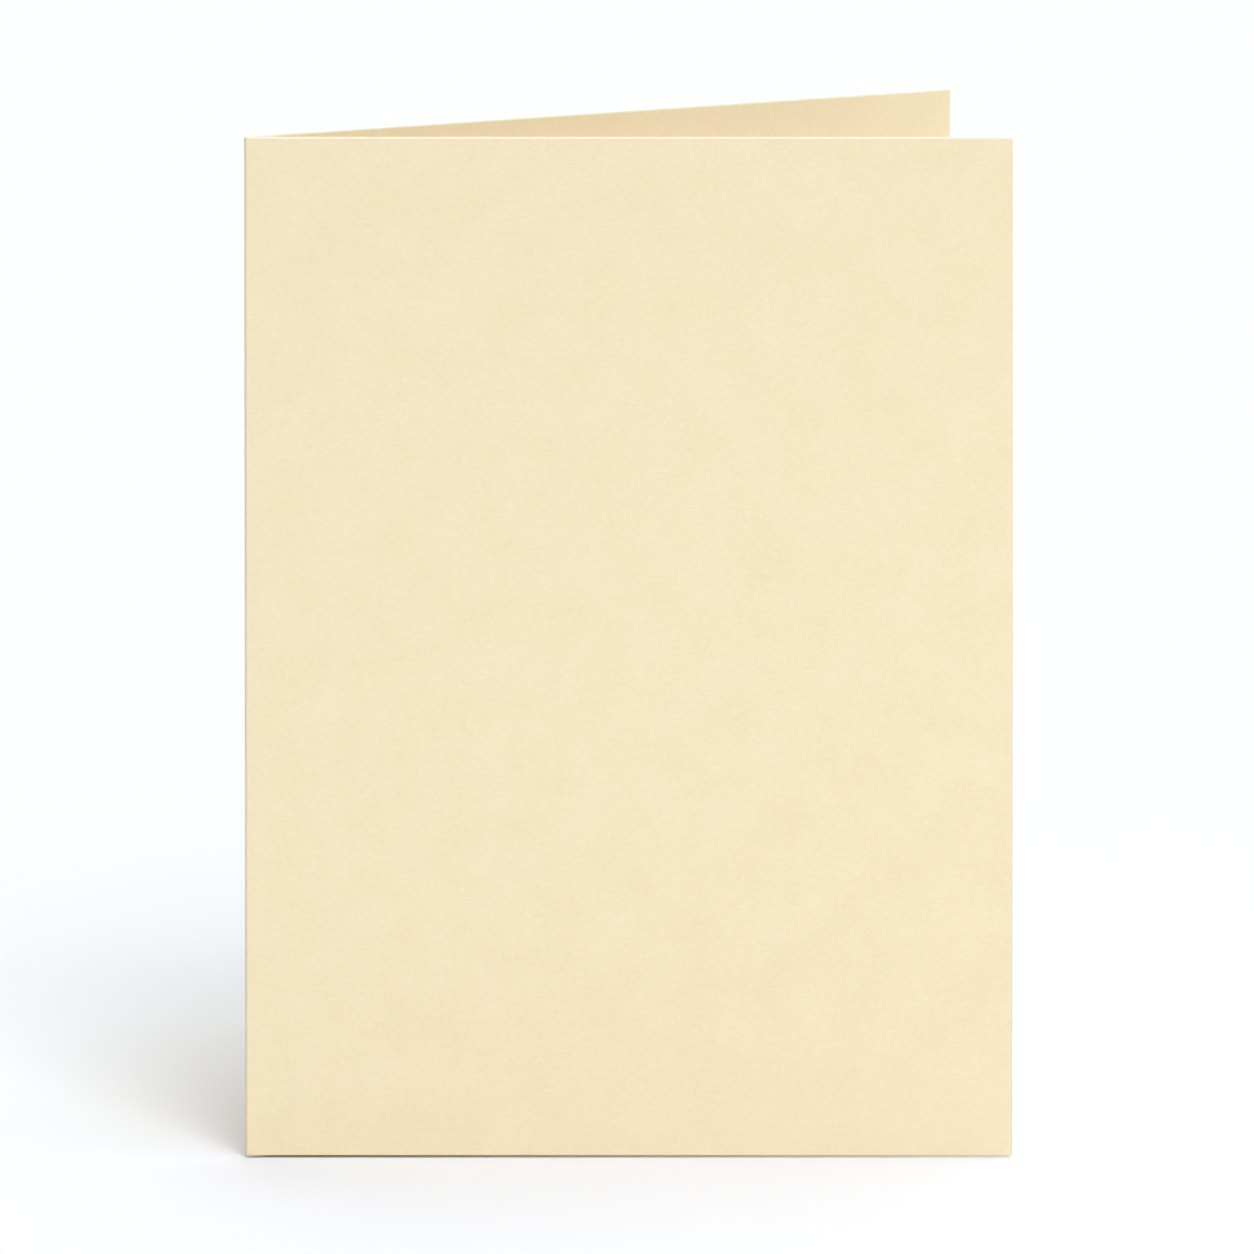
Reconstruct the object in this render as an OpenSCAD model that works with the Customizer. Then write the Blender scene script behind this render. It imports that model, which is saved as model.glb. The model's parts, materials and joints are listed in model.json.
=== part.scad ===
// Folded card: one sheet of uncoated card, scored and folded once,
// standing open on its bottom cut edges.
// The fold runs along Z. The front panel lies parallel to X and faces -Y,
// and the back panel swings away from it towards +Y.

/* [Sheet] */
// Width of each panel, from the outside of the fold to the free edge
panel_width = 117.5; // [60:0.5:220]
// Height of the panels, along the fold
panel_height = 158; // [80:1:320]
// Thickness of the card
card_thickness = 0.4; // [0.25:0.05:1]

/* [Fold] */
// Angle between the front panel and the back panel
opening_angle = 23; // [10:1:90]
// Radius on the inside of the fold
fold_radius = 0.15; // [0.1:0.05:1]
// Radius of the bead that the score raises inside the fold
bead_radius = 0.1; // [0.05:0.01:0.15]

/* [Colour] */
// Colour of the card
card_colour = "#F6E6C4"; // [#F6E6C4:Cream, #FBFAF5:White, #E3CDA4:Buff]

/* [Hidden] */
$fn = 96;

// The outer face of the card turns on this radius round the fold's axis
outer_radius = fold_radius + card_thickness;
// Flat length of a panel, from the end of the fold to the free edge
flat_length = panel_width - outer_radius;

// Unit vectors along the back panel, away from the fold, and out of its outer face
along_back = [cos(opening_angle), sin(opening_angle)];
out_of_back = [-sin(opening_angle), cos(opening_angle)];

// Outer corner of the back panel's free edge, and the middle of the card's footprint
back_corner = flat_length * along_back + outer_radius * out_of_back;
footprint_centre = [flat_length - outer_radius, back_corner.y - outer_radius] / 2;

// Space between two lines that leave the fold's axis at the opening angle,
// widened on both sides by a distance and rounded by it at the fold
module widened_opening(distance, reach) {
    circle(distance);
    polygon([
        [0, -distance],
        [reach, -distance],
        [reach, 0],
        reach * along_back,
        reach * along_back + distance * out_of_back,
        distance * out_of_back,
    ]);
}

// Ridge that the score leaves on the inside of the fold, opposite the opening
module score_bead() {
    rotate(180 + opening_angle / 2)
        translate([fold_radius, 0])
            circle(bead_radius);
}

// Section across the fold: both panels, the turn between them and the bead inside it
module card_section() {
    difference() {
        widened_opening(outer_radius, flat_length);
        widened_opening(fold_radius, panel_width);
    }
    score_bead();
}

// The whole card, with its footprint centred on the origin
module folded_card() {
    color(card_colour)
        linear_extrude(panel_height)
            translate(-footprint_centre)
                card_section();
}

folded_card();
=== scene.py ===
import json
from math import atan2, cos, pi, radians, sin

import bmesh
import bpy
from mathutils import Matrix, Vector


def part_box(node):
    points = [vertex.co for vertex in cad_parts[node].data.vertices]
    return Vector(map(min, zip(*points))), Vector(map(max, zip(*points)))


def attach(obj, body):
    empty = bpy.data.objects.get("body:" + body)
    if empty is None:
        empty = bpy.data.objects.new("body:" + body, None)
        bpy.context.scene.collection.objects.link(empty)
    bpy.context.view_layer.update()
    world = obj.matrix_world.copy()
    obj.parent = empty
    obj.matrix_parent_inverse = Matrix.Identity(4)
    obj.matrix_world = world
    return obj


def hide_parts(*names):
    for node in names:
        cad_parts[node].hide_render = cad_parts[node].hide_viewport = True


# A blank folded card of cream uncoated stock, standing open on a white studio floor.
# The front panel faces -Y, the fold runs up Z on the left, and the back panel swings to +Y.
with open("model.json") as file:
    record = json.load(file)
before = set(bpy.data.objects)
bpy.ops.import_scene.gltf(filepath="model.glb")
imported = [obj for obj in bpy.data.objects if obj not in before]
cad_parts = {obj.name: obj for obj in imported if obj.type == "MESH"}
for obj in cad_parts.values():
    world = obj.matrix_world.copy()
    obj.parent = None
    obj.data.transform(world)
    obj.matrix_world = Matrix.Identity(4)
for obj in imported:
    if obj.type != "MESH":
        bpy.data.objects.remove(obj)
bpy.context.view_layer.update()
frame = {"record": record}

MM = 0.001

# The sheet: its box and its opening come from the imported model
low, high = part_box("folded_card")
card_width = high.x - low.x
card_height = high.z - low.z
card_thickness = 0.4 * MM
back_face = next(m for m in frame["record"]["mounts"] if m["name"] == "back_face")
out_of_back = Vector(back_face["axis"])
along_back = Vector((out_of_back.y, -out_of_back.x, 0))
opening_angle = atan2(along_back.y, along_back.x)

# The fold: the inside radius, and the bead that the score raises up the inside
fold_radius = 0.15 * MM
bead_radius = 0.1 * MM
bead_half_turn = radians(39)
fold_steps = 32
outer_radius = fold_radius + card_thickness
fold_axis = Vector((low.x + outer_radius, low.y + outer_radius, 0))
flat_length = card_width - outer_radius

# The cut edges: how far the blade rolls them over, across the sheet and along it
edge_roll = 0.12 * MM
edge_roll_length = 0.3 * MM
edge_segments = 3
# Faces that meet at more than this angle meet in a cut edge
cut_angle = radians(60)
# Only the free edges' own faces have their middles further than this from the fold
near_free_edge = 0.9 * flat_length

# The floor lies this far under the bottom edges: the shade in the gap draws a dark line under the card
floor_gap = 0.44 * MM
floor_radius = 4
floor_segments = 64

# The camera stands far off with a long lens, so that the card's upright edges stay parallel
view_elevation = radians(9.72)
view_distance = 8.5
view_width = 191.85 * MM
view_centre = Vector((-0.26 * MM, low.y, 82.08 * MM))
sensor_width = 36

# Soft lamps far off: azimuth right of the front, elevation and width in degrees, strength and colour.
# The one behind is a little warm, so that the floor's cool white stays neutral in the card's shadow.
soft_lamps = {
    "front_low": (13, 36, 24, 0.99, "#FFFFFF"),
    "front_middle": (16, 50, 24, 0.74, "#FFFFFF"),
    "front_high": (24, 64, 24, 0.26, "#FFFFFF"),
    "right_above": (80, 65, 40, 0.77, "#FFFFFF"),
    "back_above": (165, 60, 50, 0.943, "#FFF9E2"),
}
soft_lamp_distance = 3

# A small soft lamp close by on the right, which lifts the free edges: its azimuth and elevation
# in degrees, distance, size and power
near_lamp_azimuth = 32
near_lamp_elevation = 2
near_lamp_distance = 0.3
near_lamp_size = 0.12
near_lamp_power = 0.04

# The room's own light in front of the card and behind it, where 1 is white
room_front = 0.05
room_back = 0.44


def linear(hex_colour):
    """Turns an sRGB hex colour to linear RGBA."""
    channels = [int(hex_colour[i : i + 2], 16) / 255 for i in (1, 3, 5)]
    return [c / 12.92 if c <= 0.04045 else ((c + 0.055) / 1.055) ** 2.4 for c in channels] + [1]


def add_node(tree, kind, settings, inputs):
    """Adds a node, sets its properties, and sets or links its inputs, by name or by number.
    A mix node takes its share at 0, its two values at 2 and 3, and its two colours at 6 and 7."""
    node = tree.nodes.new(kind)
    for name, value in settings.items():
        setattr(node, name, value)
    for name, value in inputs.items():
        if isinstance(value, bpy.types.NodeSocket):
            tree.links.new(value, node.inputs[name])
        else:
            node.inputs[name].default_value = value
    return node


def new_material(name):
    """An empty node material."""
    material = bpy.data.materials.new(name)
    material.use_nodes = True
    material.node_tree.nodes.clear()
    return material


def uncoated_card_stock():
    """Uncoated card, calendered but not glazed: matt cream, faintly cloudy where the pulp
    settled unevenly, with a fine felt of fibres that lie mostly across the panel."""
    material = new_material("uncoated_card_stock")
    tree = material.node_tree
    place = add_node(tree, "ShaderNodeTexCoord", {}, {}).outputs["Object"]

    # Clouds of pulp about 8 mm across
    clouds = add_node(
        tree,
        "ShaderNodeTexNoise",
        {},
        {"Vector": place, "Scale": 1 / (8 * MM), "Detail": 2.0, "Roughness": 0.5},
    )
    # Fibres about 0.6 mm long and 0.28 mm apart, drawn coarser than real ones so that they show
    fibre_pitch = (1 / (0.6 * MM), 1 / (0.28 * MM), 1 / (0.28 * MM))
    lie = add_node(tree, "ShaderNodeMapping", {}, {"Vector": place, "Scale": fibre_pitch})
    fibres = add_node(
        tree,
        "ShaderNodeTexNoise",
        {},
        {"Vector": lie.outputs["Vector"], "Scale": 1.0, "Detail": 2.0, "Roughness": 0.6, "Distortion": 0.4},
    )
    cloud_share = 0.3
    pulp = add_node(
        tree,
        "ShaderNodeMix",
        {"data_type": "FLOAT"},
        {0: cloud_share, 2: fibres.outputs["Fac"], 3: clouds.outputs["Fac"]},
    )
    cream = add_node(
        tree,
        "ShaderNodeMix",
        {"data_type": "RGBA"},
        {0: pulp.outputs[0], 6: linear("#EADAB4"), 7: linear("#FEF0D4")},
    )
    matt = add_node(
        tree,
        "ShaderNodeMapRange",
        {},
        {"Value": fibres.outputs["Fac"], "To Min": 0.86, "To Max": 0.96},
    )
    # The felt stands about a hundredth of a millimetre proud
    felt = add_node(
        tree,
        "ShaderNodeBump",
        {},
        {"Height": fibres.outputs["Fac"], "Strength": 1.0, "Distance": 0.01 * MM},
    )
    shader = add_node(
        tree,
        "ShaderNodeBsdfPrincipled",
        {},
        {
            "Base Color": cream.outputs[2],
            "Roughness": matt.outputs["Result"],
            "Normal": felt.outputs["Normal"],
            "IOR": 1.5,
            "Specular IOR Level": 0.2,
        },
    )
    add_node(tree, "ShaderNodeOutputMaterial", {}, {"Surface": shader.outputs["BSDF"]})
    return material


def cut_edge_with_painted_highlight():
    """The same card where a blade went through it: the fibres' broken ends are drier and rougher
    than the faces, and paler: partly their own colour, partly a painted highlight along the top edges."""
    material = new_material("cut_edge_with_painted_highlight")
    tree = material.node_tree
    place = add_node(tree, "ShaderNodeTexCoord", {}, {}).outputs["Object"]

    # Broken ends about 0.25 mm across, drawn coarser than real ones so that they show
    ends = add_node(
        tree,
        "ShaderNodeTexNoise",
        {},
        {"Vector": place, "Scale": 1 / (0.25 * MM), "Detail": 2.0, "Roughness": 0.6},
    )
    # The paler cream is partly the cut fibres' own colour and partly a painted highlight along the top
    # edges
    pale_cream_and_highlight = add_node(
        tree,
        "ShaderNodeMix",
        {"data_type": "RGBA"},
        {0: ends.outputs["Fac"], 6: linear("#F6EED3"), 7: linear("#FCF6E1")},
    )
    torn = add_node(
        tree,
        "ShaderNodeBump",
        {},
        {"Height": ends.outputs["Fac"], "Strength": 1.0, "Distance": 0.015 * MM},
    )
    shader = add_node(
        tree,
        "ShaderNodeBsdfPrincipled",
        {},
        {
            "Base Color": pale_cream_and_highlight.outputs[2],
            "Roughness": 0.95,
            "Normal": torn.outputs["Normal"],
            "IOR": 1.5,
            "Specular IOR Level": 0.1,
        },
    )
    add_node(tree, "ShaderNodeOutputMaterial", {}, {"Surface": shader.outputs["BSDF"]})
    return material


def seen_directly(tree):
    """1 for what the camera, a reflection or glass looks at, and 0 for light that bounces."""
    path = add_node(tree, "ShaderNodeLightPath", {}, {})
    mirrored = add_node(
        tree,
        "ShaderNodeMath",
        {"operation": "MAXIMUM"},
        {0: path.outputs["Is Glossy Ray"], 1: path.outputs["Is Transmission Ray"]},
    )
    seen = add_node(
        tree,
        "ShaderNodeMath",
        {"operation": "MAXIMUM"},
        {0: path.outputs["Is Camera Ray"], 1: mirrored.outputs["Value"]},
    )
    return seen.outputs["Value"]


def white_studio_board():
    """Matt white board: it looks a cool white, which evens out the warm light from the card,
    holds the card's soft shadow, and throws back a little less light than it shows."""
    material = new_material("white_studio_board")
    tree = material.node_tree
    white = add_node(
        tree,
        "ShaderNodeMix",
        {"data_type": "RGBA"},
        {0: seen_directly(tree), 6: linear("#E7E8EA"), 7: linear("#EDF0F8")},
    )
    shader = add_node(tree, "ShaderNodeBsdfDiffuse", {}, {"Color": white.outputs[2]})
    add_node(tree, "ShaderNodeOutputMaterial", {}, {"Surface": shader.outputs["BSDF"]})
    return material


def new_object(name, bm, materials):
    """Puts a finished bmesh in the scene as an object at the origin."""
    mesh = bpy.data.meshes.new(name)
    bm.to_mesh(mesh)
    bm.free()
    for material in materials:
        mesh.materials.append(material)
    piece = bpy.data.objects.new(name, mesh)
    bpy.context.scene.collection.objects.link(piece)
    return piece


def run_on(bm, edge, way):
    """Draws an edge out into a face, and returns the far edge of that face."""
    grown = bmesh.ops.extrude_edge_only(bm, edges=[edge])["geom"]
    bmesh.ops.translate(bm, vec=way, verts=[g for g in grown if isinstance(g, bmesh.types.BMVert)])
    return next(g for g in grown if isinstance(g, bmesh.types.BMEdge))


def fold_sheet(bm):
    """The sheet's section, drawn as a strip that starts across the front panel's free edge,
    runs to the fold, turns round it and runs out along the back panel."""
    outer = bm.verts.new((high.x, low.y, 0))
    inner = bm.verts.new((high.x, low.y + card_thickness, 0))
    free_edge = bm.edges.new((outer, inner))
    into_fold = run_on(bm, free_edge, Vector((fold_axis.x - high.x, 0, 0)))
    turned = bmesh.ops.spin(
        bm,
        geom=[into_fold, *into_fold.verts],
        cent=fold_axis,
        axis=(0, 0, 1),
        angle=opening_angle - pi,
        steps=fold_steps,
    )["geom_last"]
    out_of_fold = next(g for g in turned if isinstance(g, bmesh.types.BMEdge))
    run_on(bm, out_of_fold, flat_length * along_back)


def cut_edges(bm):
    """Rolls over the top and free edges that the blade left, and keeps the bottom ones sharp.
    The cut faces and their rolled edges are the second material."""
    for face in bm.faces:
        from_fold = (face.calc_center_median() - fold_axis).xy.length
        faces_up_or_down = round(face.normal.z) != 0
        face.material_index = int(from_fold > near_free_edge or faces_up_or_down)
    sharp = [e for e in bm.edges if e.calc_face_angle() > cut_angle]
    rolled = bmesh.ops.bevel(
        bm,
        geom=[e for e in sharp if max(v.co.z for v in e.verts) > 0],
        offset=edge_roll,
        offset_type="OFFSET",
        affect="EDGES",
        segments=edge_segments,
        profile=0.5,
        material=-1,
    )["faces"]
    for face in rolled:
        face.material_index = 1

    # The top edges roll further along the sheet than across it
    bmesh.ops.scale(
        bm,
        vec=(1, 1, edge_roll_length / edge_roll),
        space=Matrix.Translation((0, 0, -card_height)),
        verts=[v for v in bm.verts if v.co.z > card_height / 2],
    )


def raise_bead(bm):
    """Lifts the inside of the fold into the bead that the score leaves there."""
    bead_way = -Vector((cos(opening_angle / 2), sin(opening_angle / 2), 0))
    middle_of_sheet = fold_radius + card_thickness / 2
    for vert in bm.verts:
        spoke = Vector((vert.co.x - fold_axis.x, vert.co.y - fold_axis.y, 0))
        if spoke.length < middle_of_sheet and spoke.angle(bead_way) < bead_half_turn:
            rise = bead_radius * (1 + cos(pi * spoke.angle(bead_way) / bead_half_turn)) / 2
            bmesh.ops.translate(bm, vec=-rise * spoke.normalized(), verts=[vert])


def make_card():
    """One sheet, folded, raised to the card's height, cut and scored."""
    bm = bmesh.new()
    fold_sheet(bm)
    raised = bmesh.ops.extrude_face_region(bm, geom=bm.faces[:])["geom"]
    top = [g for g in raised if isinstance(g, bmesh.types.BMVert)]
    bmesh.ops.translate(bm, vec=(0, 0, card_height), verts=top)
    bmesh.ops.recalc_face_normals(bm, faces=bm.faces[:])
    bm.normal_update()
    cut_edges(bm)
    raise_bead(bm)
    for face in bm.faces:
        face.smooth = True
    card = new_object("card", bm, [uncoated_card_stock(), cut_edge_with_painted_highlight()])
    card.modifiers.new("flat_panels", "WEIGHTED_NORMAL")
    return card


def make_floor():
    """A wide white board under the card."""
    bm = bmesh.new()
    bmesh.ops.create_circle(bm, cap_ends=True, segments=floor_segments, radius=floor_radius)
    bmesh.ops.translate(bm, vec=(0, 0, -floor_gap), verts=bm.verts[:])
    return new_object("floor", bm, [white_studio_board()])


def add_lamp(name, kind, azimuth, elevation, distance, settings):
    """A lamp that looks at the card's middle from an azimuth right of the front."""
    lamp = bpy.data.lights.new(name, kind)
    for setting, value in settings.items():
        setattr(lamp, setting, value)
    holder = bpy.data.objects.new(name, lamp)
    bpy.context.scene.collection.objects.link(holder)
    side, up = radians(azimuth), radians(elevation)
    way = Vector((sin(side) * cos(up), -cos(side) * cos(up), sin(up)))
    holder.location = Vector((0, 0, card_height / 2)) + distance * way
    holder.rotation_euler = (-way).to_track_quat("-Z", "Y").to_euler()
    holder.visible_camera = False


def light_the_studio():
    """Soft lamps in front, above on the right and above behind, a small one close by on the
    right, and a dim white room."""
    for name, (azimuth, elevation, width, strength, colour) in soft_lamps.items():
        settings = {"energy": strength, "angle": radians(width), "color": linear(colour)[:3]}
        add_lamp(name, "SUN", azimuth, elevation, soft_lamp_distance, settings)
    near = {"energy": near_lamp_power, "shape": "SQUARE", "size": near_lamp_size}
    add_lamp("right_near", "AREA", near_lamp_azimuth, near_lamp_elevation, near_lamp_distance, near)

    world = bpy.data.worlds.new("white_room")
    world.use_nodes = True
    bpy.context.scene.world = world
    tree = world.node_tree
    tree.nodes.clear()
    way = add_node(tree, "ShaderNodeTexCoord", {}, {}).outputs["Generated"]
    behind = add_node(tree, "ShaderNodeVectorMath", {"operation": "DOT_PRODUCT"}, {0: way, 1: (0, 1, 0)})
    strength = add_node(
        tree,
        "ShaderNodeMapRange",
        {},
        {"Value": behind.outputs["Value"], "From Min": -1.0, "To Min": room_front, "To Max": room_back},
    )
    lit = add_node(tree, "ShaderNodeBackground", {}, {"Strength": strength.outputs["Result"]})
    seen = add_node(tree, "ShaderNodeBackground", {}, {"Strength": 1.0})
    for background in (lit, seen):
        background.inputs["Color"].default_value = linear("#FFFFFF")
    room = add_node(
        tree,
        "ShaderNodeMixShader",
        {},
        {0: seen_directly(tree), 1: lit.outputs["Background"], 2: seen.outputs["Background"]},
    )
    add_node(tree, "ShaderNodeOutputWorld", {}, {"Surface": room.outputs["Shader"]})


def add_camera():
    """A long lens that looks down a little on the front panel."""
    lens = bpy.data.cameras.new("camera")
    lens.sensor_width = sensor_width
    lens.lens = sensor_width * view_distance / view_width
    camera = bpy.data.objects.new("camera", lens)
    bpy.context.scene.collection.objects.link(camera)
    back = Vector((0, -cos(view_elevation), sin(view_elevation)))
    camera.location = view_centre + view_distance * back
    camera.rotation_euler = (-back).to_track_quat("-Z", "Y").to_euler()
    bpy.context.scene.camera = camera


card = make_card()
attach(card, "root")
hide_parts("folded_card")
make_floor()
light_the_studio()
add_camera()
bpy.context.scene.view_settings.view_transform = "Standard"
